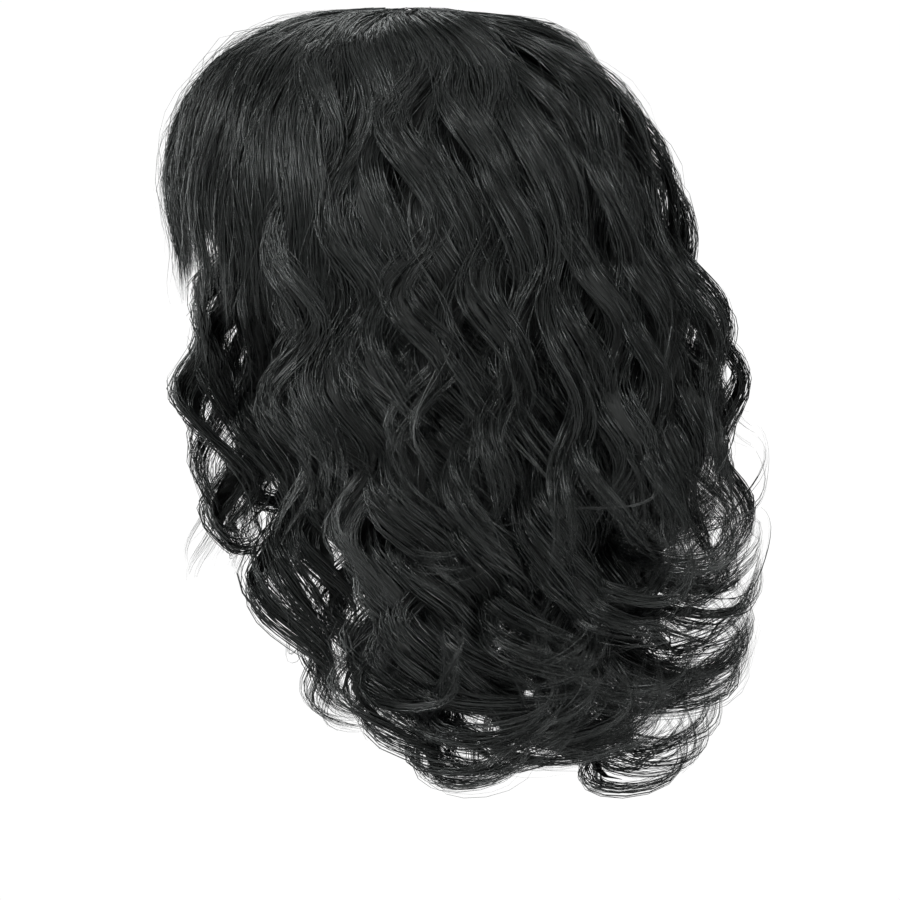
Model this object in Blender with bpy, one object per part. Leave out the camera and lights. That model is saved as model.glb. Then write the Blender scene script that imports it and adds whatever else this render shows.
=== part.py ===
"""A black, wavy, shoulder-length wig with a fringe, as it hangs when worn.

A thin elastic cap carries the hair. The hair is a fringe, a long crown layer, a side section on each
side, a back section and a short nape section. Each section is one solid: its locks are joined side
by side over the scalp, and part into free, curling ends below.

Metres, +Z up. The origin is the inside of the cap's top, where it sits on the head.
The face looks along -Y, and the wearer's left is +X.
Hair is laid out in head coordinates: an azimuth round the head (0 at the face, positive to the
wearer's left), a distance down from the crown, and a depth outwards from the scalp.
"""

import math

import bmesh
import bpy
import numpy as np

# The head that the cap fits
HEAD_WIDTH = 0.156
HEAD_LENGTH = 0.194
CROWN_HEIGHT = 0.100
CAP_WALL = 0.002

# Clearances: hair over the cap, one hair layer over the next, and two sections side by side
SCALP_GAP = 0.0011
LAYER_GAP = 0.002
SECTION_GAP = 0.0015

# Outline of the hair: from the crown to the lowest tips, and how deep it stands off the scalp
HAIR_LENGTH = 0.440
CROWN_DEPTH = 0.024
FRONT_DEPTH = 0.034
SIDE_DEPTH = 0.066
BACK_DEPTH = 0.090
NAPE_DEPTH = 0.020

# Waves and curled ends
WAVE_LENGTH = 0.085
WAVE_SWAY = 0.010
WAVE_LIFT = 0.005
CURL_LENGTH = 0.085
GROOVE_DEPTH = 0.45
NOTCH = 0.24
TIP_SHARE = 0.25
FLICK = 0.012
MERGE_WITHIN = 0.000001

CAP_COLUMNS = 30
CAP_RINGS = 5
HAIR_ROWS = 25
END_STEP = 0.018

# The parting between fringe and crown layer: where it starts to widen, and over what distance
FRINGE_AZIMUTH = 52.0
PARTING_START = 0.015
PARTING_OPENS = 0.045

# The share of the hair's length where the longest lock of the crown layer ends
CROWN_ENDS = 0.66

# Where the cap's edge runs, from the face round to the nape: its drop below the crown as a share of
# the crown height. It is high over the forehead and ears, and low at the ear tab and the nape.
CAP_EDGE = [
    {"azimuth": 0, "drop": 0.50},
    {"azimuth": 35, "drop": 0.62},
    {"azimuth": 58, "drop": 1.00},
    {"azimuth": 70, "drop": 1.12},
    {"azimuth": 88, "drop": 0.90},
    {"azimuth": 108, "drop": 0.96},
    {"azimuth": 135, "drop": 1.28},
    {"azimuth": 180, "drop": 1.42},
]

# How deep the hair stands off the scalp at distances down from the crown, which are shares of the
# hair's length. Each depth is a share of its own side's size.
DEPTHS = [
    {"down": 0.00, "front": 0.71, "side": 0.36, "back": 0.27},
    {"down": 0.11, "front": 0.88, "side": 0.47, "back": 0.38},
    {"down": 0.18, "front": 1.00, "side": 0.56, "back": 0.50},
    {"down": 0.26, "front": 0.85, "side": 0.65, "back": 0.58},
    {"down": 0.34, "front": 0.60, "side": 0.73, "back": 0.70},
    {"down": 0.43, "front": 0.90, "side": 0.88, "back": 0.93},
    {"down": 0.54, "front": 1.30, "side": 0.97, "back": 1.01},
    {"down": 0.65, "front": 1.40, "side": 1.00, "back": 1.05},
    {"down": 0.76, "front": 1.40, "side": 1.00, "back": 1.00},
    {"down": 0.89, "front": 1.30, "side": 0.92, "back": 0.84},
    {"down": 1.00, "front": 1.00, "side": 0.78, "back": 0.66},
]

# Where one layer ends and the next begins, as shares of the hair's depth: the inside of the side
# and back sections, and the inside of the crown layer
LAYERS = [
    {"down": 0.00, "side": 0.00, "back": 0.00, "crown": 0.00},
    {"down": 0.14, "side": 0.00, "back": 0.00, "crown": 0.06},
    {"down": 0.25, "side": 0.00, "back": 0.04, "crown": 0.24},
    {"down": 0.36, "side": 0.04, "back": 0.13, "crown": 0.42},
    {"down": 0.50, "side": 0.08, "back": 0.22, "crown": 0.64},
    {"down": 0.60, "side": 0.12, "back": 0.30, "crown": 0.84},
    {"down": 0.68, "side": 0.15, "back": 0.36, "crown": 1.04},
    {"down": 1.00, "side": 0.24, "back": 0.46, "crown": 1.90},
]

# The front edges of the side sections beside the face, in degrees of azimuth
FACE_EDGES = [
    {"down": 0.20, "left": 60, "right": 60},
    {"down": 0.45, "left": 52, "right": 46},
    {"down": 0.53, "left": 50, "right": 42},
    {"down": 0.61, "left": 55, "right": 50},
    {"down": 0.69, "left": 64, "right": 47},
    {"down": 0.78, "left": 62, "right": 52},
    {"down": 0.89, "left": 66, "right": 68},
    {"down": 1.00, "left": 70, "right": 76},
]

# The sections of hair. root and parts are where its locks begin and where they part into free ends,
# and ends how far the longest reach, all as shares of the hair's length. turn is how far an end
# curls round, sideways the share of that curl along the head and not outwards.
SECTIONS = [
    {"name": "fringe", "layer": "crown", "from": -52, "to": 52, "locks": 8,
     "root": 0.062, "parts": 0.235, "ends": 0.43, "turn": -25, "sideways": 0.2, "wave": 0.3, "phase": 0.5},
    {"name": "crown_hair", "layer": "crown", "from": 52, "to": 308, "locks": 18,
     "root": 0.0, "parts": 0.42, "ends": CROWN_ENDS, "turn": 30, "sideways": 0.8, "wave": 1.0, "phase": 0.0},
    {"name": "left_side_hair", "layer": "side", "from": 60, "to": 122, "locks": 5,
     "root": 0.235, "parts": 0.72, "ends": 1.12, "turn": 150, "sideways": 0.8, "wave": 1.2, "phase": 1.0},
    {"name": "right_side_hair", "layer": "side", "from": -122, "to": -60, "locks": 5,
     "root": 0.235, "parts": 0.64, "ends": 1.08, "turn": 140, "sideways": 0.8, "wave": 1.2, "phase": 2.6},
    {"name": "back_hair", "layer": "back", "from": 122, "to": 238, "locks": 9,
     "root": 0.235, "parts": 0.70, "ends": 1.12, "turn": 150, "sideways": 0.2, "wave": 1.2, "phase": 2.0},
    {"name": "nape_hair", "layer": "nape", "from": 136, "to": 224, "locks": 7,
     "root": 0.37, "parts": 0.62, "ends": 0.92, "turn": -25, "sideways": 0.3, "wave": 0.8, "phase": 3.0},
]

MATERIALS = {
    "cap_net": {"colour": (0.012, 0.011, 0.011), "roughness": 0.85},
    "hair": {"colour": (0.016, 0.016, 0.017), "roughness": 0.42},
}

# Across one lock, from one groove to the next: the place across, and the rise above the groove
LOCK_PROFILE = ((-1.0, 0.0), (-0.55, 0.72), (0.0, 1.0), (0.55, 0.72), (1.0, 0.0))

CROWN_ARC = math.pi / 4 * math.hypot((HEAD_WIDTH + HEAD_LENGTH) / 4, CROWN_HEIGHT) * math.sqrt(2)


def ease(share):
    share = np.clip(share, 0.0, 1.0)
    return share * share * (3.0 - 2.0 * share)


def read(rows, key, value, wanted):
    """The wanted column of a table at a value of its key column, on a smooth curve through the rows."""
    keys = np.array([row[key] for row in rows], float)
    values = np.array([row[wanted] for row in rows], float)
    slopes = np.gradient(values, keys)
    value = np.clip(value, keys[0], keys[-1])
    at = np.clip(np.searchsorted(keys, value, side="right") - 1, 0, len(keys) - 2)
    width = keys[at + 1] - keys[at]
    share = (value - keys[at]) / width
    rise = values[at + 1] - values[at]
    start, end = slopes[at] * width, slopes[at + 1] * width
    return values[at] + share * (start + share * (3 * rise - 2 * start - end + share * (start + end - 2 * rise)))


def place(azimuth, down, depth):
    """The point at an azimuth, a distance down from the crown and a depth off the scalp."""
    azimuth, down, depth = np.broadcast_arrays(azimuth, down, depth)
    turn = np.minimum(down / CROWN_ARC, 1.0) * math.pi / 2
    half = np.array([HEAD_WIDTH / 2, HEAD_LENGTH / 2, CROWN_HEIGHT])
    unit = np.stack([np.sin(turn) * np.sin(azimuth), -np.sin(turn) * np.cos(azimuth), np.cos(turn)], -1)
    out = unit / half
    out = out / np.linalg.norm(out, axis=-1, keepdims=True)
    drop = CROWN_HEIGHT + np.maximum(down - CROWN_ARC, 0.0)
    return unit * half + depth[..., None] * out - drop[..., None] * np.array([0.0, 0.0, 1.0])


def girth(azimuth, down, depth):
    """The distance from the head's upright axis, at least a small one."""
    point = place(azimuth, down, depth)
    return np.maximum(np.hypot(point[..., 0], point[..., 1]), 0.004)


def hair_depth(azimuth, down):
    """How deep all the hair is there."""
    share = down / HAIR_LENGTH
    ahead, behind = np.maximum(np.cos(azimuth), 0.0) ** 2, np.maximum(-np.cos(azimuth), 0.0) ** 2
    depth = (
        read(DEPTHS, "down", share, "front") * FRONT_DEPTH * ahead
        + read(DEPTHS, "down", share, "back") * BACK_DEPTH * behind
        + read(DEPTHS, "down", share, "side") * SIDE_DEPTH * np.sin(azimuth) ** 2
    )
    return CROWN_DEPTH + (depth - CROWN_DEPTH) * ease(down / PARTING_OPENS)


def layer_bounds(layer, azimuth, down):
    """The least and greatest depth of a layer there."""
    whole = hair_depth(azimuth, down)
    share = down / HAIR_LENGTH
    on_cap = CAP_WALL + SCALP_GAP
    crown = read(LAYERS, "down", share, "crown") * whole
    back = np.maximum(read(LAYERS, "down", share, "back") * whole, on_cap)
    if layer == "crown":
        return np.maximum(crown + LAYER_GAP / 2, on_cap), whole
    if layer == "nape":
        hang = ease((share - 0.47) / 0.25)
        return on_cap - hang * NAPE_DEPTH, back - 1.5 * LAYER_GAP
    least = np.maximum(read(LAYERS, "down", share, "side") * whole, on_cap) if layer == "side" else back
    return least, np.minimum(crown - LAYER_GAP / 2, whole)


def section_edges(section, down):
    """The azimuths of a section's two edges, which leave a gap to the next section."""
    share = down / HAIR_LENGTH
    start, end = math.radians(section["from"]), math.radians(section["to"])
    if section["layer"] == "crown":
        opening = ease((down - PARTING_START) / PARTING_OPENS)
        half = math.radians(FRINGE_AZIMUTH) * opening
        start, end = (-half, half) if section["name"] == "fringe" else (half, 2 * math.pi - half)
    if section["name"] == "left_side_hair":
        start = math.radians(float(read(FACE_EDGES, "down", share, "left")))
    if section["name"] == "right_side_hair":
        end = -math.radians(float(read(FACE_EDGES, "down", share, "right")))
    middle = (start + end) / 2
    gap = SECTION_GAP / 2 / float(girth(middle, down, 0.0))
    return min(start + gap, middle), max(end - gap, middle)


def wave_of(section, number, down):
    """A lock's sway along the head and lift off it, in metres, at a distance down."""
    phase = section["phase"] + 0.30 * number + 0.2 * math.sin(2.4 * number)
    length = WAVE_LENGTH * (1.0 + 0.08 * math.sin(1.7 * number + 1.0))
    angle = 2 * math.pi * down / length + phase
    grows = section["wave"] * ease((down / HAIR_LENGTH - 0.08) / 0.45)
    return grows * WAVE_SWAY * math.sin(angle), grows * WAVE_LIFT * math.cos(angle)


def joined_row(section, down):
    """One row across a section's joined locks: grooves, lock profiles and inside, each (azimuth, depth)."""
    start, end = section_edges(section, down)
    count = section["locks"]
    cut = GROOVE_DEPTH * float(ease(down / CROWN_ARC))
    crests, heights = [], []
    for number in range(count):
        middle = start + (end - start) * (number + 0.5) / count
        sway, lift = wave_of(section, number, down)
        room = (end - start) / count * 0.38
        azimuth = middle + float(np.clip(sway / girth(middle, down, 0.03), -room, room))
        least, most = layer_bounds(section["layer"], azimuth, down)
        crests.append(azimuth)
        heights.append(float(max(most + min(lift, 0.0) - cut * WAVE_LIFT * (number % 2), least + 0.002)))
    grooves, insides = [], []
    for number in range(count + 1):
        before, after = max(number - 1, 0), min(number, count - 1)
        azimuth = start if number == 0 else end if number == count else (crests[before] + crests[after]) / 2
        least = float(layer_bounds(section["layer"], azimuth, down)[0])
        thick = (heights[before] + heights[after]) / 2 - least
        grooves.append((azimuth, least + max(thick * (1 - cut), 0.0015)))
        insides.append((azimuth, least))
    profiles = []
    for number in range(count):
        (left, low), (right, other_low) = grooves[number], grooves[number + 1]
        points = []
        for across, rise in LOCK_PROFILE[1:-1]:
            side, floor = (left, low) if across < 0 else (right, other_low)
            azimuth = crests[number] + abs(across) * (side - crests[number])
            points.append((azimuth, floor + rise * (heights[number] - floor)))
        profiles.append(points)
    return grooves, profiles, insides


def end_length(section, number):
    """How long a lock's free end is: they differ, so that the hem is ragged."""
    whole = (section["ends"] - section["parts"]) * HAIR_LENGTH
    return whole * (0.82 + 0.18 * math.sin(2.1 * number + section["phase"]))


def depth_limits(section, ring):
    """The least and greatest depth a ring of (azimuth, down, depth) may have."""
    down = np.clip(ring[:, 1], 0.0, HAIR_LENGTH)
    least, most = layer_bounds(section["layer"], ring[:, 0], down)
    if section["layer"] == "crown":
        most = most + FLICK / 3
    elif section["layer"] != "nape":
        most = most + FLICK * ease((down / HAIR_LENGTH - CROWN_ENDS) / 0.1)
    return float(least.max()), float(most.min())


def most_shift(overshoots, weights):
    """The shift that, times the weights, takes away all overshoots but the smallest near the root."""
    return max(max(over / max(weight, 0.25) for over, weight in zip(overshoots, weights)), 0.0)


def settle(section, rings):
    """Move a free end's rings, more towards its tip, so that it stays in its layer and its section."""
    rings = [np.array(ring, float) for ring in rings]
    limits = [depth_limits(section, ring) for ring in rings]
    edges = [section_edges(section, min(ring[:, 1].mean(), HAIR_LENGTH)) for ring in rings]
    if section["name"] == "left_side_hair":
        edges = [(start - math.pi / 2, end) for start, end in edges]
    if section["name"] == "right_side_hair":
        edges = [(start, end + math.pi / 2) for start, end in edges]
    weights = [float(ease(1.5 * number / len(rings))) for number in range(1, len(rings) + 1)]
    inwards = most_shift([ring[:, 2].max() - limit[1] for ring, limit in zip(rings, limits)], weights)
    before = most_shift([edge[0] - ring[:, 0].min() for ring, edge in zip(rings, edges)], weights)
    beyond = most_shift([ring[:, 0].max() - edge[1] for ring, edge in zip(rings, edges)], weights)
    for ring, weight, (lowest, highest), (start, end) in zip(rings, weights, limits, edges):
        ring[:, 0] += (before - beyond) * weight
        ring[:, 0] += max(start - ring[:, 0].min(), 0.0) - max(ring[:, 0].max() - end, 0.0)
        ring[:, 2] -= inwards * weight
        if section["layer"] == "crown":
            ring[:, 2] += max(lowest - ring[:, 2].min(), 0.0)
        elif ring[:, 1].mean() < CROWN_ENDS * HAIR_LENGTH:
            ring[:, 2] -= max(ring[:, 2].max() - highest, 0.0)
    return [[tuple(corner) for corner in ring] for ring in rings]


def free_end(section, number, ring, down):
    """Rings of (azimuth, down, depth) along a lock's free end, from the ring where it parts."""
    ring = np.array(ring, float)
    middle = ring[len(ring) // 2][0]
    depth = float(ring[:, 1].min() + ring[:, 1].max()) / 2
    width = float(girth(middle, down, depth))
    across = (ring[:, 0] - middle) * width
    thick = ring[:, 1] - depth
    length = end_length(section, number)
    steps = max(4, round(length / END_STEP))
    turn = math.radians(section["turn"] * (1.0 + 0.15 * math.sin(3.1 * number)))
    mix = section["sideways"] * math.sin(middle)
    lean = np.array([mix, 0.0, math.sqrt(1.0 - mix * mix)])
    within = 0.36 if number % 2 else 0.72
    slimmest = min(1.0, 0.9 * float(np.ptp(across)) / float(np.ptp(thick)))
    at = np.array([0.0, down, 0.0])
    side = np.array([1.0, 0.0, 0.0])
    rings = []
    for step in range(1, steps + 1):
        share = step / steps
        curl = turn * float(ease((share * length - length + CURL_LENGTH) / CURL_LENGTH))
        above, below = wave_of(section, number, at[1] - 0.003), wave_of(section, number, at[1] + 0.003)
        heading = math.cos(curl) * np.array([0.0, 1.0, 0.0]) + math.sin(curl) * lean
        heading[0] += (below[0] - above[0]) / 0.006 * math.cos(curl)
        heading /= np.linalg.norm(heading)
        at = at + heading * length / steps
        side = side - heading * side.dot(heading)
        side /= np.linalg.norm(side)
        loose = float(ease(share * length / CURL_LENGTH * 1.5))
        level = np.array([1.0, 0.0, 0.0]) * (1.0 - loose) + side * loose
        level /= np.linalg.norm(level)
        out = np.cross(level, heading) * loose + np.array([0.0, 0.0, 1.0]) * (1.0 - loose)
        taper = (1.0 - NOTCH * (1 - share)) * (1.0 - (1.0 - TIP_SHARE) * share**1.8)
        slim = 1.0 + (slimmest - 1.0) * float(ease(share / 0.4))
        least, most = layer_bounds(section["layer"], middle + at[0] / width, min(at[1], HAIR_LENGTH))
        half = float(thick.max() - thick.min()) / 2 * taper * slim
        base = float(most) - half + below[1] if section["layer"] == "crown" else least + (most - least) * within
        base = depth + (float(base) - depth) * float(ease(share * 1.6))
        points = at + taper * (across[:, None] * level + slim * thick[:, None] * out)
        rings.append([(middle + x / width, y, base + z) for x, y, z in points])
    return settle(section, rings)


def add_piece(name, points, faces, material):
    mesh = bpy.data.meshes.new(name)
    mesh.from_pydata([tuple(map(float, p)) for p in points], [], faces)
    shape = bmesh.new()
    shape.from_mesh(mesh)
    bmesh.ops.remove_doubles(shape, verts=shape.verts, dist=1e-6)
    bmesh.ops.recalc_face_normals(shape, faces=shape.faces)
    shape.to_mesh(mesh)
    shape.free()
    mesh.materials.append(material)
    mesh.shade_smooth()
    piece = bpy.data.objects.new(name, mesh)
    bpy.context.scene.collection.objects.link(piece)
    return piece


def shells_of(shape):
    """The faces of a mesh, as lists of faces that hang together, the largest list first."""
    left = set(shape.faces)
    shells = []
    while left:
        shell, edge_of_search = [], [left.pop()]
        while edge_of_search:
            face = edge_of_search.pop()
            shell.append(face)
            for edge in face.edges:
                for other in edge.link_faces:
                    if other in left:
                        left.remove(other)
                        edge_of_search.append(other)
        shells.append(shell)
    return sorted(shells, key=len, reverse=True)


def fuse(piece):
    """Unite what crosses within the piece, such as two curled ends, and drop the pockets it closes in."""
    union = piece.modifiers.new("fuse", "BOOLEAN")
    union.operation = "UNION"
    union.solver = "EXACT"
    union.operand_type = "COLLECTION"
    union.collection = bpy.data.collections.new(piece.name + "_extras")
    union.use_self = True
    shape = bmesh.new()
    shape.from_object(piece, bpy.context.evaluated_depsgraph_get())
    for pocket in shells_of(shape)[1:]:
        bmesh.ops.delete(shape, geom=pocket, context="FACES")
    bmesh.ops.triangulate(shape, faces=shape.faces)
    bmesh.ops.remove_doubles(shape, verts=shape.verts, dist=MERGE_WITHIN)
    piece.modifiers.remove(union)
    shape.to_mesh(piece.data)
    shape.free()


def build_section(section, material):
    """One solid: locks joined side by side, with free ends."""
    rows = [HAIR_LENGTH * number / HAIR_ROWS for number in range(HAIR_ROWS + 1)]
    first, last = section["root"] * HAIR_LENGTH, section["parts"] * HAIR_LENGTH
    rows = [first] + [down for down in rows if first + 0.004 < down < last - 0.004] + [last]
    count = section["locks"]
    points, faces = [], []

    def add(azimuth, down, depth):
        points.append(place(azimuth, down, depth))
        return len(points) - 1

    grid = []
    for down in rows:
        grooves, profiles, insides = joined_row(section, down)
        groove = [add(azimuth, down, depth) for azimuth, depth in grooves]
        inside = [add(azimuth, down, depth) for azimuth, depth in insides]
        middle = [[add(azimuth, down, depth) for azimuth, depth in profile] for profile in profiles]
        rings = [
            [inside[n], groove[n], *middle[n], groove[n + 1], inside[n + 1]] for n in range(count)
        ]
        grid.append(rings)
    for upper, lower in zip(grid, grid[1:]):
        for number in range(count):
            above, below = upper[number], lower[number]
            sides = range(1, len(above) - 2)
            faces += [(above[k], above[k + 1], below[k + 1], below[k]) for k in sides]
            faces.append((above[-1], above[0], below[0], below[-1]))
        for number, k in ((0, 0), (count - 1, len(upper[0]) - 2)):
            above, below = upper[number], lower[number]
            faces.append((above[k], above[k + 1], below[k + 1], below[k]))
    faces += [tuple(ring) for ring in grid[0]]

    grooves, profiles, insides = joined_row(section, last)
    for number in range(count):
        ring = [insides[number], grooves[number], *profiles[number], grooves[number + 1], insides[number + 1]]
        above = grid[-1][number]
        for places in free_end(section, number, ring, last):
            below = [add(azimuth, down, depth) for azimuth, down, depth in places]
            for k in range(len(above)):
                after = (k + 1) % len(above)
                faces.append((above[k], above[after], below[after], below[k]))
            above = below
        faces.append(tuple(above))
    fuse(add_piece(section["name"], points, faces, material))


def build_cap(material):
    """The elastic cap: one thin wall from the crown to its edge, with ear tabs."""
    points, faces = [], []
    inner, outer = [], []
    for column in range(CAP_COLUMNS):
        azimuth = 2 * math.pi * column / CAP_COLUMNS
        around = abs(math.degrees(math.atan2(math.sin(azimuth), math.cos(azimuth))))
        drop = CROWN_HEIGHT * float(read(CAP_EDGE, "azimuth", around, "drop"))
        if drop <= CROWN_HEIGHT:
            edge = CROWN_ARC * math.acos(1 - drop / CROWN_HEIGHT) * 2 / math.pi
        else:
            edge = CROWN_ARC + drop - CROWN_HEIGHT
        downs = [edge * ring / CAP_RINGS for ring in range(CAP_RINGS + 1)]
        for wall, depth in ((inner, 0.0), (outer, CAP_WALL)):
            wall.append(list(range(len(points), len(points) + len(downs))))
            points += [place(azimuth, down, depth) for down in downs]
    for column in range(CAP_COLUMNS):
        after = (column + 1) % CAP_COLUMNS
        for wall in (inner, outer):
            here, there = wall[column], wall[after]
            faces += [(here[k], there[k], there[k + 1], here[k + 1]) for k in range(CAP_RINGS)]
        faces.append((inner[column][-1], inner[after][-1], outer[after][-1], outer[column][-1]))
    return add_piece("wig_cap", points, faces, material)


def make_material(name):
    material = bpy.data.materials.new(name)
    material.use_nodes = True
    shader = material.node_tree.nodes["Principled BSDF"]
    shader.inputs["Base Color"].default_value = (*MATERIALS[name]["colour"], 1.0)
    shader.inputs["Roughness"].default_value = MATERIALS[name]["roughness"]
    shader.inputs["Metallic"].default_value = 0.0
    return material


def main():
    for old in list(bpy.data.objects):
        bpy.data.objects.remove(old)
    build_cap(make_material("cap_net"))
    hair = make_material("hair")
    for section in SECTIONS:
        build_section(section, hair)


main()
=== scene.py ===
"""The black, wavy wig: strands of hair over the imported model's frame.

Hair is laid out in head coordinates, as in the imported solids: an azimuth round the head (0 at the
face, positive to the wearer's left), a distance down from the crown, and a depth off the scalp.
Each section of hair holds locks, a lock holds wisps, and a wisp holds strands.
"""

import math

import bpy
import numpy as np
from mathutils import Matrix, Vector


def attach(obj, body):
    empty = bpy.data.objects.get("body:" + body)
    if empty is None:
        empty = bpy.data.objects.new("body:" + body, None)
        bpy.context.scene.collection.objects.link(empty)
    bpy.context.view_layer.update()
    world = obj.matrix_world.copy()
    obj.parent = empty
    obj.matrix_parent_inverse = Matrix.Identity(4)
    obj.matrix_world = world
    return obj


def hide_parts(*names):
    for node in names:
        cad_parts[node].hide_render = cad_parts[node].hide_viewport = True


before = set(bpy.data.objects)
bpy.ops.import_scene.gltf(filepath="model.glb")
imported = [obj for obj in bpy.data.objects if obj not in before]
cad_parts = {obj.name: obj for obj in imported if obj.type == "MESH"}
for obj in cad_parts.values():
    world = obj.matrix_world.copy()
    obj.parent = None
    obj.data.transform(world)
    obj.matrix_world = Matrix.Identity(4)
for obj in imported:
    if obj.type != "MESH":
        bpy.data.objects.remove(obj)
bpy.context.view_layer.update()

# The head under the cap, and the outline of the hair
HEAD_HALF = np.array([0.078, 0.097, 0.100])
MEAN_HALF = (HEAD_HALF[0] + HEAD_HALF[1]) / 2
CROWN_ARC = math.pi / 4 * math.hypot(MEAN_HALF, HEAD_HALF[2]) * math.sqrt(2)
HAIR_LENGTH = 0.440
CROWN_DEPTH, CROWN_EASE = 0.024, 0.045
SCALP = 0.004
LEAST_GIRTH = 0.006

# How deep the hair stands off the scalp in front, at the sides and at the back, by distance down
DEPTHS = np.array(
    [
        # down, front, side, back
        [0.00, 0.024, 0.024, 0.024],
        [0.05, 0.030, 0.031, 0.034],
        [0.08, 0.034, 0.037, 0.045],
        [0.115, 0.028, 0.042, 0.049],
        [0.15, 0.020, 0.047, 0.060],
        [0.19, 0.030, 0.057, 0.080],
        [0.24, 0.044, 0.064, 0.090],
        [0.29, 0.047, 0.066, 0.092],
        [0.335, 0.047, 0.066, 0.088],
        [0.39, 0.044, 0.061, 0.077],
        [0.44, 0.034, 0.051, 0.060],
    ]
)

# Front edges of the side hair beside the face, in degrees, by distance down
FACE_EDGES = np.array(
    [
        # down, left, right
        [0.09, 54, 52],
        [0.20, 51, 36],
        [0.235, 57, 38],
        [0.27, 64, 53],
        [0.30, 70, 50],
        [0.34, 67, 52],
        [0.39, 70, 66],
        [0.44, 74, 74],
    ]
)


def ease(share):
    """From 0 to 1, with a slow start and end."""
    share = np.clip(share, 0.0, 1.0)
    return share * share * (3.0 - 2.0 * share)


def unit(vectors):
    return vectors / np.maximum(np.linalg.norm(vectors, axis=-1, keepdims=True), 1e-9)


def column(table, value, wanted):
    """A table's column at values of its first one, on a smooth curve."""
    keys, values = table[:, 0], table[:, wanted]
    slopes = np.gradient(values, keys)
    value = np.clip(value, keys[0], keys[-1])
    at = np.clip(np.searchsorted(keys, value, side="right") - 1, 0, len(keys) - 2)
    width = keys[at + 1] - keys[at]
    share = (value - keys[at]) / width
    rise = values[at + 1] - values[at]
    start, end = slopes[at] * width, slopes[at + 1] * width
    bend = 3 * rise - 2 * start - end + share * (start + end - 2 * rise)
    return values[at] + share * (start + share * bend)


def surface(azimuth, down):
    """Points of the scalp, and the directions out of it. Below the head it goes straight down."""
    azimuth, down = np.broadcast_arrays(azimuth, down)
    turn = np.clip(down / CROWN_ARC, 0.0, 1.0) * math.pi / 2
    round_head = np.stack([np.sin(turn) * np.sin(azimuth), -np.sin(turn) * np.cos(azimuth), np.cos(turn)], -1)
    out = unit(round_head / HEAD_HALF)
    points = round_head * HEAD_HALF
    points[..., 2] -= HEAD_HALF[2] + np.maximum(down - CROWN_ARC, 0.0)
    return points, out


def place(azimuth, down, depth):
    """Points in metres of places in head coordinates."""
    points, out = surface(azimuth, down)
    return points + np.asarray(depth)[..., None] * out


def girth(azimuth, down, depth):
    """Distances from the head's upright axis, by which a length across becomes an angle."""
    point = place(azimuth, down, depth)
    return np.maximum(np.hypot(point[..., 0], point[..., 1]), LEAST_GIRTH)


def hair_depth(azimuth, down):
    """How far the hair's surface stands off the scalp."""
    ahead = np.maximum(np.cos(azimuth), 0.0) ** 2
    behind = np.maximum(-np.cos(azimuth), 0.0) ** 2
    depth = (
        column(DEPTHS, down, 1) * ahead
        + column(DEPTHS, down, 2) * np.sin(azimuth) ** 2
        + column(DEPTHS, down, 3) * behind
    )
    return CROWN_DEPTH + (depth - CROWN_DEPTH) * ease(down / CROWN_EASE)


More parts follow.
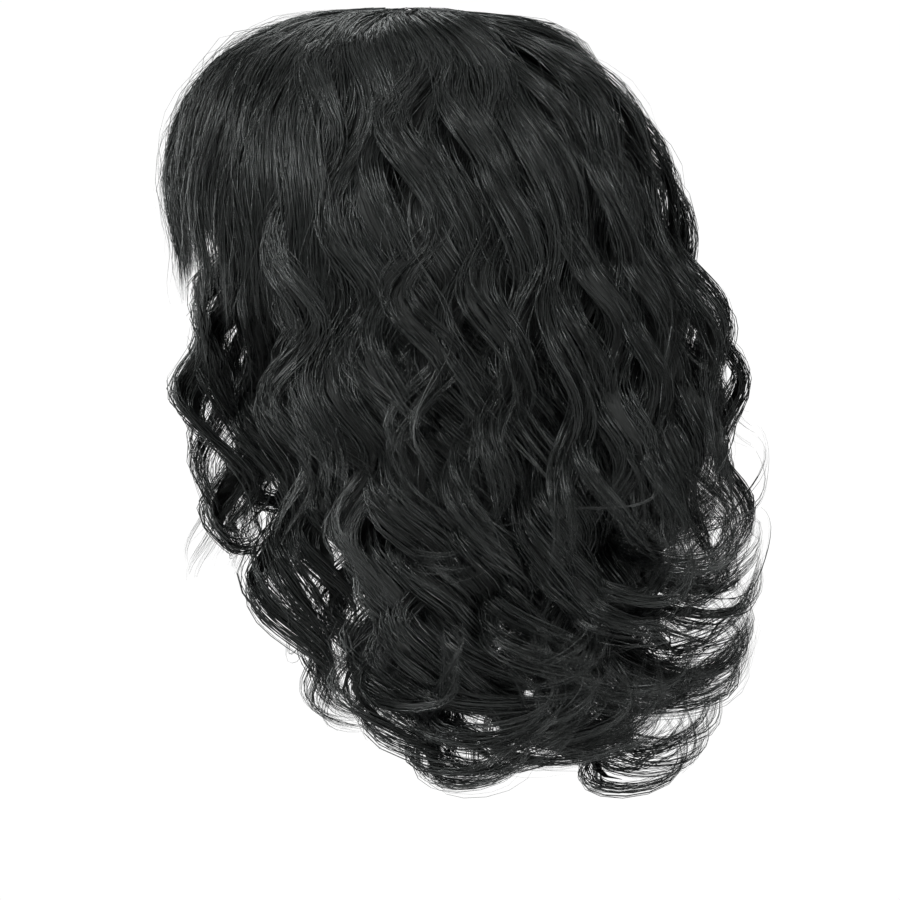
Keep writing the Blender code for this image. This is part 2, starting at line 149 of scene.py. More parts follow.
# The rows of locks, between two azimuths. Angles are degrees and lengths metres.
# root and ends are the distances down between which the longest locks hang, and ragged is how much
# shorter the others are. level is how far out the row lies at its root and its end, from the scalp
# (0) to the hair's surface (1), and rise the length over which it comes up to that. width is half a
# wisp's. sway and lift are a wave's size across and outwards, and wave its length. curl is how far
# an end turns, over what length, and sideways the share of that turn along the head. gather is how
# far a lock draws together at its end.
ROWS = [
    {"piece": "fringe", "from": -54, "to": 56, "locks": 23, "wisps": 5, "strands": 20,
     "root": 0.004, "ends": 0.182, "ragged": 0.022, "level": (0.94, 1.0), "rise": 0, "width": 0.0050,
     "sway": 0.0024, "lift": 0.0010, "wave": 0.070,
     "curl": -22, "curl_length": 0.06, "sideways": 0.3, "gather": 0.15},
    {"piece": "crown_hair", "from": 50, "to": 310, "locks": 36, "wisps": 6, "strands": 17,
     "root": 0.002, "ends": 0.345, "ragged": 0.130, "level": (0.98, 1.01), "rise": 0, "width": 0.0048,
     "sway": 0.0088, "lift": 0.0072, "wave": 0.074,
     "curl": 48, "curl_length": 0.07, "sideways": 0.6, "gather": 0.34},
    {"piece": "crown_hair", "from": 54, "to": 306, "locks": 26, "wisps": 5, "strands": 10,
     "root": 0.060, "ends": 0.360, "ragged": 0.120, "level": (0.76, 0.90), "rise": 0.05, "width": 0.0050,
     "sway": 0.0090, "lift": 0.0060, "wave": 0.074,
     "curl": 58, "curl_length": 0.07, "sideways": 0.6, "gather": 0.25},
    {"piece": "left_side_hair", "from": 58, "to": 122, "locks": 8, "wisps": 6, "strands": 20,
     "root": 0.115, "ends": 0.425, "ragged": 0.075, "level": (0.70, 0.95), "rise": 0.13, "width": 0.0048,
     "sway": 0.0110, "lift": 0.0080, "wave": 0.068,
     "curl": 110, "curl_length": 0.080, "sideways": 0.6, "gather": 0.42},
    {"piece": "left_side_hair", "from": 58, "to": 122, "locks": 8, "wisps": 6, "strands": 22,
     "root": 0.125, "ends": 0.488, "ragged": 0.050, "level": (0.45, 0.75), "rise": 0.08, "width": 0.0050,
     "sway": 0.0110, "lift": 0.0080, "wave": 0.070,
     "curl": 205, "curl_length": 0.110, "sideways": 0.9, "gather": 0.55},
    {"piece": "left_side_hair", "from": 60, "to": 92, "locks": 4, "wisps": 6, "strands": 20,
     "root": 0.130, "ends": 0.482, "ragged": 0.025, "level": (0.60, 0.86), "rise": 0.08, "width": 0.0052,
     "sway": 0.0100, "lift": 0.0080, "wave": 0.066,
     "curl": 215, "curl_length": 0.105, "sideways": 0.9, "gather": 0.35},
    {"piece": "right_side_hair", "from": -122, "to": -58, "locks": 8, "wisps": 6, "strands": 15,
     "root": 0.115, "ends": 0.408, "ragged": 0.055, "level": (0.82, 1.00), "rise": 0.08, "width": 0.0048,
     "sway": 0.0110, "lift": 0.0080, "wave": 0.068,
     "curl": 215, "curl_length": 0.105, "sideways": 0.85, "gather": 0.40},
    {"piece": "right_side_hair", "from": -126, "to": -72, "locks": 9, "wisps": 6, "strands": 20,
     "root": 0.125, "ends": 0.450, "ragged": 0.040, "level": (0.45, 0.80), "rise": 0.08, "width": 0.0054,
     "sway": 0.0100, "lift": 0.0080, "wave": 0.070,
     "curl": 100, "curl_length": 0.080, "sideways": 0.6, "gather": 0.16},
    {"piece": "back_hair", "from": 120, "to": 240, "locks": 13, "wisps": 6, "strands": 18,
     "root": 0.125, "ends": 0.450, "ragged": 0.090, "level": (0.70, 0.95), "rise": 0.12, "width": 0.0052,
     "sway": 0.0110, "lift": 0.0090, "wave": 0.068,
     "curl": 215, "curl_length": 0.105, "sideways": 0.25, "gather": 0.42},
    {"piece": "back_hair", "from": 120, "to": 240, "locks": 12, "wisps": 6, "strands": 20,
     "root": 0.135, "ends": 0.510, "ragged": 0.065, "level": (0.50, 0.78), "rise": 0.08, "width": 0.0052,
     "sway": 0.0110, "lift": 0.0090, "wave": 0.070,
     "curl": 220, "curl_length": 0.115, "sideways": 0.25, "gather": 0.55},
    {"piece": "nape_hair", "from": 128, "to": 232, "locks": 10, "wisps": 5, "strands": 10,
     "root": 0.165, "ends": 0.400, "ragged": 0.080, "level": (0.04, 0.20), "rise": 0, "width": 0.0050,
     "sway": 0.0060, "lift": 0.0040, "wave": 0.066,
     "curl": 60, "curl_length": 0.060, "sideways": 0.3, "gather": 0.4},
    # Single strands that stand off the hair
    {"piece": "crown_hair", "from": 56, "to": 304, "locks": 60, "wisps": 1, "strands": 2,
     "root": 0.004, "ends": 0.330, "ragged": 0.200, "level": (1.03, 1.10), "rise": 0, "width": 0.0016,
     "sway": 0.0090, "lift": 0.0060, "wave": 0.084,
     "curl": 90, "curl_length": 0.08, "sideways": 0.5, "gather": 0.0},
    {"piece": "back_hair", "from": 124, "to": 236, "locks": 26, "wisps": 1, "strands": 3,
     "root": 0.125, "ends": 0.500, "ragged": 0.160, "level": (0.80, 1.10), "rise": 0.08, "width": 0.0014,
     "sway": 0.0120, "lift": 0.0080, "wave": 0.074,
     "curl": 240, "curl_length": 0.130, "sideways": 0.3, "gather": 0.0},
    {"piece": "left_side_hair", "from": 60, "to": 120, "locks": 16, "wisps": 1, "strands": 3,
     "root": 0.120, "ends": 0.480, "ragged": 0.160, "level": (0.80, 1.08), "rise": 0.08, "width": 0.0014,
     "sway": 0.0120, "lift": 0.0080, "wave": 0.074,
     "curl": 180, "curl_length": 0.110, "sideways": 0.6, "gather": 0.0},
    {"piece": "right_side_hair", "from": -120, "to": -60, "locks": 16, "wisps": 1, "strands": 3,
     "root": 0.120, "ends": 0.450, "ragged": 0.160, "level": (0.80, 1.08), "rise": 0.08, "width": 0.0014,
     "sway": 0.0120, "lift": 0.0080, "wave": 0.074,
     "curl": 180, "curl_length": 0.110, "sideways": 0.6, "gather": 0.0},
]

PATH_STEPS = 64
LOW_STARTS, LOW_DEPTH = 0.420, 0.040  # no end reaches further down than the sum of these

# The whorl: how far the hair is turned at the crown, and the distance down over which that fades
WHORL_TURN = math.radians(55)
WHORL_SIZE = 0.034

# Front and rear of the side hair round the head, before its front edge is shaped
SIDE_FRONT, SIDE_REAR = math.radians(58), math.radians(122)

# How locks and wisps differ, as random ranges. ASTRAY and WISP_ASTRAY are shares of a lock's width.
ASTRAY, FRINGE_ASTRAY = 0.18, 0.06
LOCK_OVERLAP, WISP_ASTRAY = 1.15, 0.12
RAGGED_POWER, WISP_SHORTER = 1.2, 0.014
LOCK_ROOT, WISP_ROOT = (0, 0.01), (0, 0.012)
PHASE_STEP, PHASE_ROW = 0.4, 6.5
LOCK_PHASE, WISP_PHASE = (-1.0, 1.0), (-0.28, 0.28)
LOCK_TURN, WISP_TURN = (0.82, 1.12), (0.94, 1.06)
LOCK_WAVE, WISP_WAVE = (0.86, 1.18), (0.96, 1.04)
LOCK_SWAY, WISP_SWAY = (0.75, 1.25), (0.85, 1.15)
LOCK_LEVEL, WISP_LEVEL = (-0.09, 0.05), (-0.05, 0.03)
SIDE_ASTRAY, MOST_SIDEWAYS = 0.25, 0.95
INWARD_SHARE, INWARD_TURN = 0.35, -0.6  # some locks of the crown curl the other way

# The fringe reaches lower at the left temple than in the middle, and less low at the right one, and
# sweeps to both. The side hair on the left is a little longer beside the face.
FRINGE_LEFT, FRINGE_RIGHT = 0.030, 0.010
FRINGE_FROM, FRINGE_OVER = 0.1, 0.7
FRINGE_SWEEP = 0.17
FRONT_LONGER, FRONT_FROM, FRONT_OVER = 0.006, 1.1, 0.5


def lock_wisps(row, rng):
    """What each wisp of a row is like, as arrays."""
    locks, wisps = row["locks"], row["wisps"]
    lock = np.repeat(np.arange(locks), wisps)
    slot = np.tile(np.arange(wisps), locks)
    count = len(lock)

    def per_lock(low, high):
        return rng.uniform(low, high, locks)[lock]

    spread = math.radians(row["to"] - row["from"]) / locks
    astray = FRINGE_ASTRAY if row["piece"] == "fringe" else ASTRAY
    middle = math.radians(row["from"]) + spread * (lock + 0.5) + per_lock(-astray, astray) * spread
    across = (slot + 0.5) / wisps - 0.5 + rng.uniform(-WISP_ASTRAY, WISP_ASTRAY, count)
    ragged = per_lock(0, 1) ** RAGGED_POWER
    ends = row["ends"] - row["ragged"] * ragged - rng.uniform(0, WISP_SHORTER, count)
    if row["piece"] == "fringe":
        ends = ends + FRINGE_LEFT * ease((middle - FRINGE_FROM) / FRINGE_OVER)
        ends = ends - FRINGE_RIGHT * ease((-middle - FRINGE_FROM) / FRINGE_OVER)
    if row["piece"] == "left_side_hair" and wisps > 1:
        ends = ends + FRONT_LONGER * (1 - ease((middle - FRONT_FROM) / FRONT_OVER)) * (1 - ragged)
    root = row["root"] + rng.uniform(*WISP_ROOT, count) + per_lock(*LOCK_ROOT)
    phase = PHASE_STEP * lock + per_lock(*LOCK_PHASE) + rng.uniform(*WISP_PHASE, count)
    phase = phase + PHASE_ROW * row["level"][0]
    turn = math.radians(row["curl"]) * per_lock(*LOCK_TURN) * rng.uniform(*WISP_TURN, count)
    if row["piece"] == "crown_hair":
        turn = turn * np.where(per_lock(0, 1) < INWARD_SHARE, INWARD_TURN, 1.0)
    side = row["sideways"] * np.sign(np.sin(middle)) * np.abs(np.sin(middle)) ** 0.5
    side = np.clip(side + per_lock(-SIDE_ASTRAY, SIDE_ASTRAY), -MOST_SIDEWAYS, MOST_SIDEWAYS)
    return {
        "azimuth": middle,
        "offset": across * spread * LOCK_OVERLAP,
        "root": root,
        "length": ends - root,
        "phase": phase,
        "turn": turn,
        "side": side,
        "wave": row["wave"] * per_lock(*LOCK_WAVE) * rng.uniform(*WISP_WAVE, count),
        "sway": row["sway"] * per_lock(*LOCK_SWAY) * rng.uniform(*WISP_SWAY, count),
        "lift": row["lift"] * per_lock(*LOCK_SWAY) * rng.uniform(*WISP_SWAY, count),
        "level": per_lock(*LOCK_LEVEL) + rng.uniform(*WISP_LEVEL, count),
    }


def beside_face(row, azimuth, down):
    """The row's azimuths, with its front edge brought to the edge of the face."""
    left = row["piece"] == "left_side_hair"
    edge = np.radians(column(FACE_EDGES, down, 1 if left else 2))
    share = (np.abs(azimuth) - SIDE_REAR) / (SIDE_FRONT - SIDE_REAR)
    return (1 if left else -1) * (SIDE_REAR + share * (edge - SIDE_REAR))


# Waves grow from WAVE_FROM on, over WAVE_OVER, and by WIDER_BY more further down, in shares of the
# hair's length. A curl stills them. The wave outwards runs LIFT_LEAD ahead of a quarter turn.
WAVE_FROM, WAVE_OVER = 0.02, 0.22
WIDER_BY, WIDER_FROM, WIDER_OVER = 0.35, 0.5, 0.3
CURL_STILLS, CURL_POWER = 0.7, 1.25
LIFT_LEAD = 0.5

# Rows that rise start at LEVEL_STARTS of their level. At the nape the hair comes in to the neck.
# Ends may stand off the hair's surface by FLICK and the slack, and what goes further is drawn in.
GIRTH_LEVEL, LEVEL_STARTS = 0.8, 0.2
NAPE_IN, NAPE_FROM, NAPE_OVER = 0.020, 0.20, 0.11
FLICK, FLICK_FROM, FLICK_OVER = 0.004, 0.24, 0.08
OUTLINE_SLACK, STRAY_SLACK, DRAWN_IN = 0.004, 0.005, 1.4

# Wisps are narrower near the crown's centre, where they would run into each other
FULL_GIRTH, LEAST_NARROW = 0.085, 0.05


def hair_paths(row, wisp):
    """Points along each wisp, in metres, the frame across it, and how narrow it is there."""
    step = wisp["length"][:, None] / PATH_STEPS
    along = step * np.arange(PATH_STEPS + 1)
    share = along / wisp["length"][:, None]
    curl = np.clip((along - wisp["length"][:, None]) / row["curl_length"] + 1.0, 0.0, 1.0) ** CURL_POWER
    angle = wisp["turn"][:, None] * curl
    side = wisp["side"][:, None]

    def gather(rate):
        total = np.cumsum((rate[:, 1:] + rate[:, :-1]) / 2 * step, axis=1)
        return np.concatenate([np.zeros((len(rate), 1)), total], axis=1)

    down = wisp["root"][:, None] + gather(np.cos(angle))
    sideways = gather(np.sin(angle) * side)
    outwards = gather(np.sin(angle) * np.sqrt(1 - side**2))

    # Waves, which the curl at the end takes over from
    reach = (wisp["root"][:, None] + along) / HAIR_LENGTH
    grows = ease((reach - WAVE_FROM) / WAVE_OVER) * (1.0 + WIDER_BY * ease((reach - WIDER_FROM) / WIDER_OVER))
    grows = grows * (1 - CURL_STILLS * curl)
    turn = 2 * math.pi * (wisp["root"][:, None] + along) / wisp["wave"][:, None] + wisp["phase"][:, None]
    sway = grows * wisp["sway"][:, None] * np.sin(turn)
    lift = grows * wisp["lift"][:, None] * np.cos(turn + LIFT_LEAD)

    # Where the hair lies, as an azimuth and a distance down
    over = np.maximum(down - LOW_STARTS, 0.0)
    down = np.minimum(down, LOW_STARTS) + LOW_DEPTH * (1 - np.exp(-over / LOW_DEPTH))
    azimuth = wisp["azimuth"][:, None] + wisp["offset"][:, None] * (1 - row["gather"] * ease(share))
    azimuth = azimuth + WHORL_TURN * (1 - ease(down / WHORL_SIZE))
    if row["piece"] == "fringe":
        azimuth = azimuth + FRINGE_SWEEP * np.sin(azimuth) * share**2
    if row["piece"] in ("left_side_hair", "right_side_hair"):
        azimuth = beside_face(row, azimuth, down)
    whole = hair_depth(azimuth, down)
    azimuth = azimuth + (sway + sideways) / girth(azimuth, down, whole * GIRTH_LEVEL)

    # How far it stands off the scalp, kept near the hair's surface
    whole = hair_depth(azimuth, down)
    level = row["level"][0] + (row["level"][1] - row["level"][0]) * share + wisp["level"][:, None]
    if row["rise"]:
        level = level * (LEVEL_STARTS + (1 - LEVEL_STARTS) * ease(along / row["rise"]))
    least = SCALP
    if row["piece"] == "nape_hair":
        least = SCALP - NAPE_IN * ease((down - NAPE_FROM) / NAPE_OVER)
    depth = least + level * (whole - least) + lift + outwards
    flick = FLICK * ease((down - FLICK_FROM) / FLICK_OVER)
    beyond = np.maximum(depth - whole - flick - OUTLINE_SLACK, 0.0).max(axis=1)
    if row["wisps"] == 1:
        beyond = np.maximum(beyond - STRAY_SLACK, 0.0)
    depth = depth - beyond[:, None] * ease(share * DRAWN_IN)
    depth = np.maximum(depth, least)

    # The frame across the path, carried along it without a twist
    points = place(azimuth, down, depth)
    out = surface(azimuth, down)[1]
    tangent = unit(np.gradient(points, axis=1))
    across = np.empty_like(points)
    across[:, 0] = unit(np.cross(tangent[:, 0], out[:, 0]))
    for at in range(1, points.shape[1]):
        flat = across[:, at - 1] - tangent[:, at] * (across[:, at - 1] * tangent[:, at]).sum(-1)[:, None]
        across[:, at] = unit(flat)
    narrow = np.clip(girth(azimuth, down, depth) / FULL_GIRTH, LEAST_NARROW, 1.0)
    return {"points": points, "across": across, "out": np.cross(across, tangent), "narrow": narrow}


def sample(values, which, share):
    """Values along the paths, at shares of their length."""
    at = share * PATH_STEPS
    low = np.clip(at.astype(int), 0, PATH_STEPS - 1)
    part = at - low
    if values.ndim == 3:
        part = part[..., None]
    which = which[:, None]
    return values[which, low] * (1 - part) + values[which, low + 1] * part


# The length between a strand's points, and how late strands start and how early they end, as shares
STRAND_STEP, LEAST_SEGMENTS = 0.0085, 8
LATE_START, EARLY_END, EARLY_POWER = 0.05, 0.14, 1.8
CLOSER_TO_TIP = 0.35

# A wisp narrows along its length by the first share, and at its tip by the second. It is flatter
# outwards than across.
WISP_NARROWS, TIP_NARROWS = 0.35, 0.50
WISP_FLAT = 0.7
ROUND_ACROSS, ROUND_OUT = 0.9, 0.5

# Loose strands wander further, stand a little proud and are thinner. Low rows have thicker strands.
LOOSE_SHARE, LOOSE_WANDER, WANDER = 0.07, 0.0035, 0.0009
WANDER_RANGE, WANDER_WAVES, WANDER_TURNS = (0.4, 1.2), (4.0, 9.0), 3
WANDER_GROWS, PROUD_GROWS = 2.5, 3
PROUD = (0.0005, 0.0060)
LOOSE_THICK, LOW_THICK, LOW_ROOT = 0.7, 1.2, 0.1


def strand_points(row, wisp, path, rng):
    """Points, facing directions and thickness of every strand in a row."""
    per_wisp = row["strands"]
    which = np.repeat(np.arange(len(wisp["length"])), per_wisp)
    count = len(which)
    segments = max(LEAST_SEGMENTS, round(float(wisp["length"].mean()) / STRAND_STEP))
    start = rng.uniform(0.0, LATE_START, count)[:, None]
    end = 1.0 - EARLY_END * rng.random(count)[:, None] ** EARLY_POWER
    even = np.linspace(0, 1, segments + 1)
    share = start + (end - start) * even * (1 + CLOSER_TO_TIP - CLOSER_TO_TIP * even)
    place_on, turned = np.sqrt(rng.random(count)), rng.uniform(0, 2 * math.pi, count)
    across_by, out_by = (place_on * np.cos(turned))[:, None], (place_on * np.sin(turned))[:, None]
    narrow = sample(path["narrow"], which, share)
    radius = row["width"] * narrow * (1.0 - WISP_NARROWS * share**2 - TIP_NARROWS * share**8)
    loose = rng.random(count)[:, None] < LOOSE_SHARE
    amount = np.where(loose, LOOSE_WANDER, WANDER) * rng.uniform(*WANDER_RANGE, (count, 1))
    amount = amount * ease(share * WANDER_GROWS)
    waves = rng.uniform(*WANDER_WAVES, (count, 2))
    phases = rng.uniform(0, 2 * math.pi, (count, 2))
    wander = amount * np.sin(share * waves[:, :1] * WANDER_TURNS + phases[:, :1])
    proud = np.where(loose, rng.uniform(*PROUD, (count, 1)), 0) * ease(share * PROUD_GROWS)
    rise = amount * np.sin(share * waves[:, 1:] * WANDER_TURNS + phases[:, 1:]) + proud
    across, out = sample(path["across"], which, share), sample(path["out"], which, share)
    points = sample(path["points"], which, share)
    points = points + (across_by * radius + wander)[..., None] * across
    points = points + (out_by * radius * WISP_FLAT + rise)[..., None] * out
    facing = out + across * (across_by * ROUND_ACROSS)[..., None] + out * (out_by * ROUND_OUT)[..., None]
    facing = unit(facing)
    thick = np.where(loose, LOOSE_THICK, 1.0)[:, 0] * (LOW_THICK if row["root"] > LOW_ROOT else 1.0)
    return points, facing, thick


# A ribbon's half width, how it thins to the tip, how far it may roll, and how far its edges' normals
# turn aside, which makes it look round
STRAND_HALF, THICK_RANGE = 0.00021, (0.7, 1.3)
TIP_FROM, TIP_THINS = 0.75, 0.85
MOST_ROLL, EDGE_TILT = 0.9, math.radians(55)
STRIP_ENDS, STRIP_HALF = (0.01, 0.99), 0.3  # each strand's place in the texture layout


def ribbons(points, facing, thick, rng):
    """Flat ribbons along the strands: vertices, normals, quads, texture layout and tones."""
    count, rings = points.shape[:2]
    tangent = unit(np.gradient(points, axis=1))
    roll = rng.uniform(-MOST_ROLL, MOST_ROLL, (count, 1, 1))
    side = unit(np.cross(tangent, facing))
    face = np.cross(side, tangent)
    side, face = side * np.cos(roll) + face * np.sin(roll), face * np.cos(roll) - side * np.sin(roll)
    share = np.linspace(0, 1, rings)[None, :, None]
    width = STRAND_HALF * (thick * rng.uniform(*THICK_RANGE, count))[:, None, None]
    width = width * (1 - TIP_THINS * ease((share - TIP_FROM) / (1 - TIP_FROM)))
    vertices = np.stack([points - side * width, points + side * width], axis=2).reshape(-1, 3)
    faced, edged = face * math.cos(EDGE_TILT), side * math.sin(EDGE_TILT)
    normals = np.stack([faced - edged, faced + edged], axis=2).reshape(-1, 3)
    first = (np.arange(count)[:, None] * rings + np.arange(rings - 1)[None, :]).reshape(-1) * 2
    quads = np.stack([first, first + 1, first + 3, first + 2], axis=1)
    strip = (np.arange(count) + 0.5) / count
    u = np.broadcast_to(np.linspace(*STRIP_ENDS, rings)[None, :, None], (count, rings, 2))
    v = np.broadcast_to(strip[:, None, None], (count, rings, 2))
    v = v + np.array([-STRIP_HALF, STRIP_HALF]) / count
    layout = np.stack([u, v], axis=-1).reshape(-1, 2)
    tone = np.broadcast_to(rng.random(count)[:, None, None], (count, rings, 2)).reshape(-1)
    return vertices, normals, quads, layout, tone


# The sheet under a lock ends before its tip and draws in to it there
SHEET_RINGS, SHEET_ENDS, SHEET_UNDER, SHEET_CLOSES = 36, 0.83, 0.0018, 0.985
SHEET_STRIP = (0.05, 0.95)
STREAKS_ALONG, STREAKS_ACROSS = 22, 44  # for each metre of hair, and across each lock


def underlay(row, wisp, path):
    """A thin sheet under each lock, which keeps the hair from being seen through."""
    count, per_lock, rings = row["locks"], row["wisps"], SHEET_RINGS
    which = np.arange(len(wisp["length"]))
    share = np.broadcast_to(np.linspace(0.0, SHEET_ENDS, rings)[None, :], (len(which), rings))
    points = sample(path["points"], which, share) - SHEET_UNDER * sample(path["out"], which, share)
    points = points.reshape(count, per_lock, rings, 3)
    middle = points.mean(axis=1, keepdims=True)
    closes = SHEET_CLOSES * (share[0] / SHEET_ENDS) ** 3
    points = middle + (points - middle) * (1 - closes)[None, None, :, None]
    ids = np.arange(count * per_lock * rings).reshape(count, per_lock, rings)
    a, b = ids[:, :-1], ids[:, 1:]
    quads = np.stack([a[..., :-1], b[..., :-1], b[..., 1:], a[..., 1:]], axis=-1).reshape(-1, 4)
    u = np.broadcast_to(np.linspace(0, 1, rings), (count, per_lock, rings))
    v = (np.arange(count)[:, None, None] + np.linspace(*SHEET_STRIP, per_lock)[None, :, None]) / count
    v = np.broadcast_to(v, u.shape)
    layout = np.stack([u, v], axis=-1).reshape(-1, 2)
    along = u * wisp["length"].reshape(count, per_lock, 1)
    streak = np.stack([along * STREAKS_ALONG, v * count * STREAKS_ACROSS, u * 0], axis=-1).reshape(-1, 3)
    return points.reshape(-1, 3), quads, layout, streak


# The dense hair under the crown: its distances down, its levels off the scalp and its mesh
MAT_TOP, MAT_ENDS, MAT_CLOSES = 0.001, 0.140, 0.65
MAT_LEVEL, MAT_PEAK = 0.72, 0.94
MAT_COLUMNS, MAT_RINGS, MAT_STREAKS = 96, 24, 2200


def crown_mat():
    """The dense hair under the crown and the fringe's roots, so that no light shows through there."""
    turn = np.broadcast_to(np.linspace(0, 1, MAT_COLUMNS + 1)[:, None], (MAT_COLUMNS + 1, MAT_RINGS + 1))
    share = np.broadcast_to(np.linspace(0, 1, MAT_RINGS + 1)[None, :], turn.shape)
    azimuth, down = turn * 2 * math.pi, MAT_TOP + (MAT_ENDS - MAT_TOP) * share
    level = MAT_LEVEL + (MAT_PEAK - MAT_LEVEL) * (1 - ease(down / WHORL_SIZE))
    whole = level * hair_depth(azimuth, down)
    points = place(azimuth, down, whole + (SCALP - whole) * ease((share - MAT_CLOSES) / (1 - MAT_CLOSES)))
    ids = np.arange(turn.size).reshape(turn.shape)
    quads = np.stack([ids[:-1, :-1], ids[1:, :-1], ids[1:, 1:], ids[:-1, 1:]], axis=-1).reshape(-1, 4)
    layout = np.stack([turn, share], axis=-1).reshape(-1, 2)
    streak = np.stack([down * STREAKS_ALONG, turn * MAT_STREAKS, turn * 0], axis=-1).reshape(-1, 3)
    return points.reshape(-1, 3), quads, layout, streak


def add_mesh(name, node, vertices, faces, material, normals=None, layout=None, tone=None, streak=None):
    """One piece of hair in place of a node, with what its material reads at each vertex."""
    mesh = bpy.data.meshes.new(name)
    mesh.from_pydata(vertices, [], faces)
    mesh.shade_smooth()
    if layout is not None:
        layer = mesh.uv_layers.new(name="OFBake")
        corner = np.empty(len(mesh.loops), np.int32)
        mesh.loops.foreach_get("vertex_index", corner)
        layer.data.foreach_set("uv", layout[corner].astype(np.float32).reshape(-1))
    if tone is not None:
        values = mesh.attributes.new("tone", "FLOAT", "POINT")
        values.data.foreach_set("value", tone.astype(np.float32))
    if streak is not None:
        values = mesh.attributes.new("streak", "FLOAT_VECTOR", "POINT")
        values.data.foreach_set("vector", streak.astype(np.float32).reshape(-1))
    if normals is not None:
        mesh.normals_split_custom_set_from_vertices(normals)
    mesh.materials.append(material)
    piece = bpy.data.objects.new(name, mesh)
    bpy.context.scene.collection.objects.link(piece)
    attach(piece, "root")
    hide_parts(node)


def new_material(name):
    """A material, its node tree and its shader."""
    material = bpy.data.materials.new(name)
    material.use_nodes = True
    tree = material.node_tree
    return material, tree, tree.nodes["Principled BSDF"]


def strand_material():
    """Black fibre: strands differ a little in tone and in gloss."""
    material, tree, shader = new_material("hair_strands")
    nodes, links = tree.nodes, tree.links
    place_in = nodes.new("ShaderNodeTexCoord")
    noise = nodes.new("ShaderNodeTexNoise")
    noise.inputs["Scale"].default_value = 45.0
    noise.inputs["Detail"].default_value = 3.0
    links.new(place_in.outputs["Object"], noise.inputs["Vector"])
    tone = nodes.new("ShaderNodeAttribute")
    tone.attribute_name = "tone"
    both = nodes.new("ShaderNodeMath")
    both.operation = "MULTIPLY_ADD"
    both.inputs[1].default_value = 0.8
    links.new(tone.outputs["Fac"], both.inputs[0])
    links.new(noise.outputs["Fac"], both.inputs[2])
    ramp = nodes.new("ShaderNodeValToRGB")
    ramp.color_ramp.interpolation = "EASE"
    ramp.color_ramp.elements[0].position = 0.40
    ramp.color_ramp.elements[0].color = (0.0015, 0.0016, 0.0016, 1)
    ramp.color_ramp.elements[1].position = 1.0
    ramp.color_ramp.elements[1].color = (0.015, 0.0162, 0.0157, 1)
    links.new(both.outputs[0], ramp.inputs["Fac"])
    links.new(ramp.outputs["Color"], shader.inputs["Base Color"])
    gloss = nodes.new("ShaderNodeMapRange")
    gloss.inputs["From Max"].default_value = 1.2
    gloss.inputs["To Min"].default_value = 0.58
    gloss.inputs["To Max"].default_value = 0.22
    links.new(both.outputs[0], gloss.inputs["Value"])
    links.new(gloss.outputs["Result"], shader.inputs["Roughness"])
    shader.inputs["Specular IOR Level"].default_value = 0.5
    return material


def underlay_material():
    """The hair inside the locks, in fine streaks along them."""
    material, tree, shader = new_material("hair_underlay")
    nodes, links = tree.nodes, tree.links
    streak = nodes.new("ShaderNodeAttribute")
    streak.attribute_name = "streak"
    noise = nodes.new("ShaderNodeTexNoise")
    noise.inputs["Scale"].default_value = 1.0
    noise.inputs["Detail"].default_value = 2.0
    links.new(streak.outputs["Vector"], noise.inputs["Vector"])
    ramp = nodes.new("ShaderNodeValToRGB")
    ramp.color_ramp.elements[0].position = 0.38
    ramp.color_ramp.elements[0].color = (0.0010, 0.0010, 0.0011, 1)
    ramp.color_ramp.elements[1].position = 0.66
    ramp.color_ramp.elements[1].color = (0.014, 0.0147, 0.014, 1)
    links.new(noise.outputs["Fac"], ramp.inputs["Fac"])
    links.new(ramp.outputs["Color"], shader.inputs["Base Color"])
    bump = nodes.new("ShaderNodeBump")
    bump.inputs["Strength"].default_value = 0.9
    bump.inputs["Distance"].default_value = 0.0008
    links.new(noise.outputs["Fac"], bump.inputs["Height"])
    links.new(bump.outputs["Normal"], shader.inputs["Normal"])
    shader.inputs["Roughness"].default_value = 0.6
    shader.inputs["Specular IOR Level"].default_value = 0.3
    return material


def cap_material():
    """Rows of weft on a fine elastic net."""
    material, tree, shader = new_material("cap_net")
    nodes, links = tree.nodes, tree.links
    place_in = nodes.new("ShaderNodeTexCoord")
    rows = nodes.new("ShaderNodeTexWave")
    rows.bands_direction = "Z"
    rows.inputs["Scale"].default_value = 34.0
    rows.inputs["Distortion"].default_value = 0.6
    net = nodes.new("ShaderNodeTexVoronoi")
    net.feature = "DISTANCE_TO_EDGE"
    net.inputs["Scale"].default_value = 420.0
    links.new(place_in.outputs["Object"], rows.inputs["Vector"])
    links.new(place_in.outputs["Object"], net.inputs["Vector"])
    threads = nodes.new("ShaderNodeValToRGB")
    threads.color_ramp.elements[0].color = (0.030, 0.029, 0.028, 1)
    threads.color_ramp.elements[1].position = 0.16
    threads.color_ramp.elements[1].color = (0.003, 0.003, 0.003, 1)
    links.new(net.outputs["Distance"], threads.inputs["Fac"])
    sewn = nodes.new("ShaderNodeValToRGB")
    sewn.color_ramp.elements[0].position = 0.55
    sewn.color_ramp.elements[1].position = 0.75
    links.new(rows.outputs["Fac"], sewn.inputs["Fac"])
    both = nodes.new("ShaderNodeMix")
    both.data_type = "RGBA"
    both.inputs["B"].default_value = (0.009, 0.009, 0.0095, 1)
    links.new(sewn.outputs["Color"], both.inputs["Factor"])
    links.new(threads.outputs["Color"], both.inputs["A"])
    links.new(both.outputs["Result"], shader.inputs["Base Color"])
    bump = nodes.new("ShaderNodeBump")
    bump.inputs["Strength"].default_value = 0.7
    bump.inputs["Distance"].default_value = 0.0015
    links.new(sewn.outputs["Color"], bump.inputs["Height"])
    links.new(bump.outputs["Normal"], shader.inputs["Normal"])
    shader.inputs["Roughness"].default_value = 0.8
    return material


MOST_FACES = 97000  # in one mesh, which keeps it under 200,000 triangles
SEED = 100


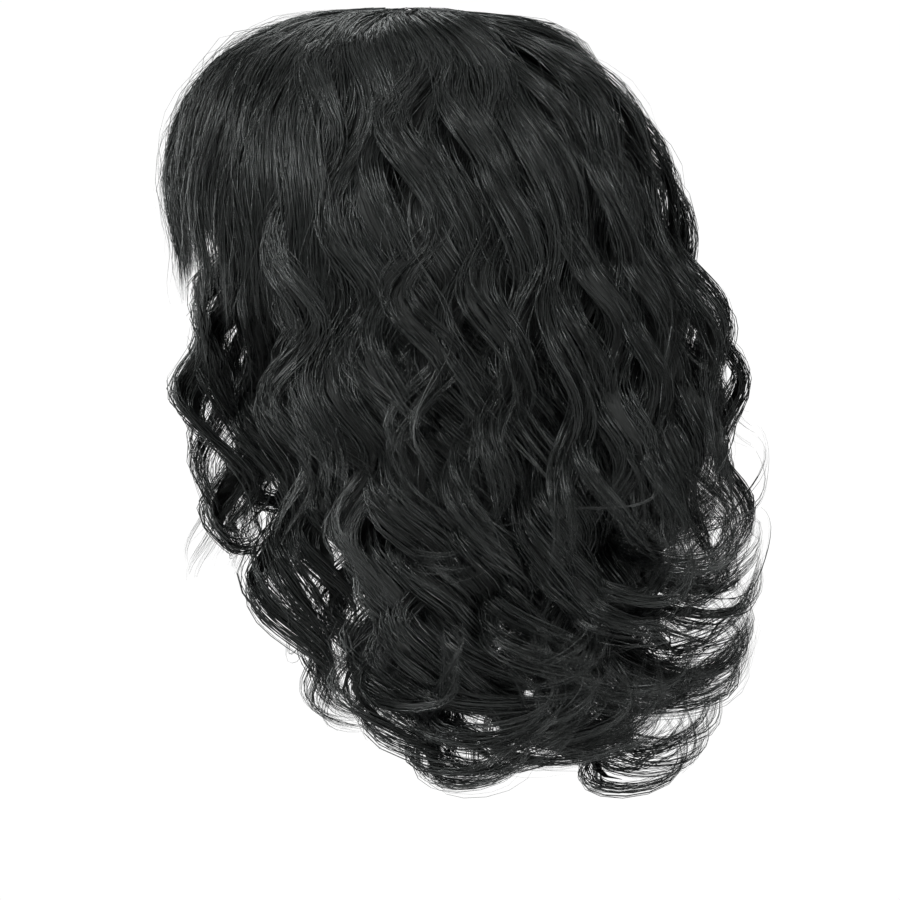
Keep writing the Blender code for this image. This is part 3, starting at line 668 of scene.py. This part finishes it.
def add_row(index, row):
    """One row's strands, in one mesh or several, and the sheets under its locks."""
    rng = np.random.default_rng(SEED + index)
    wisp = lock_wisps(row, rng)
    path = hair_paths(row, wisp)
    points, facing, thick = strand_points(row, wisp, path, rng)
    parts = math.ceil(len(points) * (points.shape[1] - 1) / MOST_FACES)
    for part in range(parts):
        some = slice(len(points) * part // parts, len(points) * (part + 1) // parts)
        vertices, normals, quads, layout, tone = ribbons(points[some], facing[some], thick[some], rng)
        name = f"{row['piece']}_strands_{index}{'abcd'[part]}"
        add_mesh(name, row["piece"], vertices, quads, strand_look, normals, layout, tone)
    if row["wisps"] > 1:
        vertices, quads, layout, streak = underlay(row, wisp, path)
        name = f"{row['piece']}_underlay_{index}"
        add_mesh(name, row["piece"], vertices, quads, underlay_look, layout=layout, streak=streak)


strand_look = strand_material()
underlay_look = underlay_material()
for index, row in enumerate(ROWS):
    add_row(index, row)
vertices, quads, layout, streak = crown_mat()
add_mesh("crown_hair_mat", "crown_hair", vertices, quads, underlay_look, layout=layout, streak=streak)

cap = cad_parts["wig_cap"]
cap.material_slots[0].material = cap_material()

FLOOR_SIZE, FLOOR_HEIGHT, SOFT_LIGHT = 30, -0.52, 0.10
WHITE, SEEN_WHITE = (1.0, 1.0, 1.0, 1), 1.02
LIGHT_TINT = (0.96, 1.0, 0.99)

# The camera turns from the face towards the wearer's left by CAMERA_TURN. It aims to the right of
# the head's axis and below its top, and sees FRAME_WIDTH at the distance of that point.
CAMERA_TURN, CAMERA_RAISED, CAMERA_DISTANCE = math.radians(75), math.radians(3), 2.2
AIM_RIGHT, AIM_HEIGHT, FRAME_WIDTH, SENSOR_WIDTH = 0.0289, -0.207, 0.4725, 36.0

LIGHTS = [
    # name, place, what it points at, side in metres, power in watts
    ("key", (1.6, -1.2, 1.2), (0, 0, -0.15), 0.8, 66),
    ("top", (0.4, 0.2, 1.9), (0, 0, 0), 0.8, 10),
    ("fill", (1.3, 1.7, 0.6), (0, 0, -0.2), 0.8, 27),
    ("far", (-1.3, 0.1, 1.4), (0, 0, -0.1), 0.9, 15),
    ("far_low", (-1.5, -1.0, 0.1), (0, 0, -0.2), 0.9, 14),
]


def shown_white(tree, soft):
    """A shader that the camera sees as plain white, and that lights the hair as soft does."""
    white = tree.nodes.new("ShaderNodeEmission")
    white.inputs["Color"].default_value = WHITE
    white.inputs["Strength"].default_value = SEEN_WHITE
    seen = tree.nodes.new("ShaderNodeLightPath")
    mix = tree.nodes.new("ShaderNodeMixShader")
    tree.links.new(seen.outputs["Is Camera Ray"], mix.inputs[0])
    tree.links.new(soft.outputs[0], mix.inputs[1])
    tree.links.new(white.outputs[0], mix.inputs[2])
    return mix.outputs[0]


def white_stage():
    bpy.ops.mesh.primitive_plane_add(size=FLOOR_SIZE, location=(0, 0, FLOOR_HEIGHT))
    floor = bpy.context.object
    floor.name = "floor"
    material, tree, paper = new_material("floor_white")
    paper.inputs["Base Color"].default_value = (0.8, 0.8, 0.8, 1)
    paper.inputs["Roughness"].default_value = 0.9
    tree.links.new(shown_white(tree, paper), tree.nodes["Material Output"].inputs["Surface"])
    floor.data.materials.append(material)
    world = bpy.data.worlds.new("studio")
    world.use_nodes = True
    tree = world.node_tree
    soft = tree.nodes["Background"]
    soft.inputs["Color"].default_value = WHITE
    soft.inputs["Strength"].default_value = SOFT_LIGHT
    tree.links.new(shown_white(tree, soft), tree.nodes["World Output"].inputs["Surface"])
    bpy.context.scene.world = world


def aim_at(thing, target):
    direction = Vector(target) - Vector(thing.location)
    thing.rotation_euler = direction.to_track_quat("-Z", "Y").to_euler()


def add_light(name, location, target, size, power):
    data = bpy.data.lights.new(name, "AREA")
    data.shape = "SQUARE"
    data.size = size
    data.energy = power
    data.color = LIGHT_TINT
    light = bpy.data.objects.new(name, data)
    bpy.context.scene.collection.objects.link(light)
    light.location = location
    aim_at(light, target)


def add_camera():
    right = np.array([math.cos(CAMERA_TURN), math.sin(CAMERA_TURN), 0.0])
    ahead = np.array([math.sin(CAMERA_TURN), -math.cos(CAMERA_TURN), 0.0])
    back = ahead * math.cos(CAMERA_RAISED) + np.array([0.0, 0.0, math.sin(CAMERA_RAISED)])
    aim = right * AIM_RIGHT + np.array([0.0, 0.0, AIM_HEIGHT])
    data = bpy.data.cameras.new("camera")
    data.lens = SENSOR_WIDTH * CAMERA_DISTANCE / FRAME_WIDTH
    data.sensor_width = SENSOR_WIDTH
    data.clip_end = 100.0
    camera = bpy.data.objects.new("camera", data)
    bpy.context.scene.collection.objects.link(camera)
    camera.location = aim + back * CAMERA_DISTANCE
    aim_at(camera, aim)
    bpy.context.scene.camera = camera


white_stage()
add_camera()
for light in LIGHTS:
    add_light(*light)
bpy.context.scene.view_settings.view_transform = "Standard"
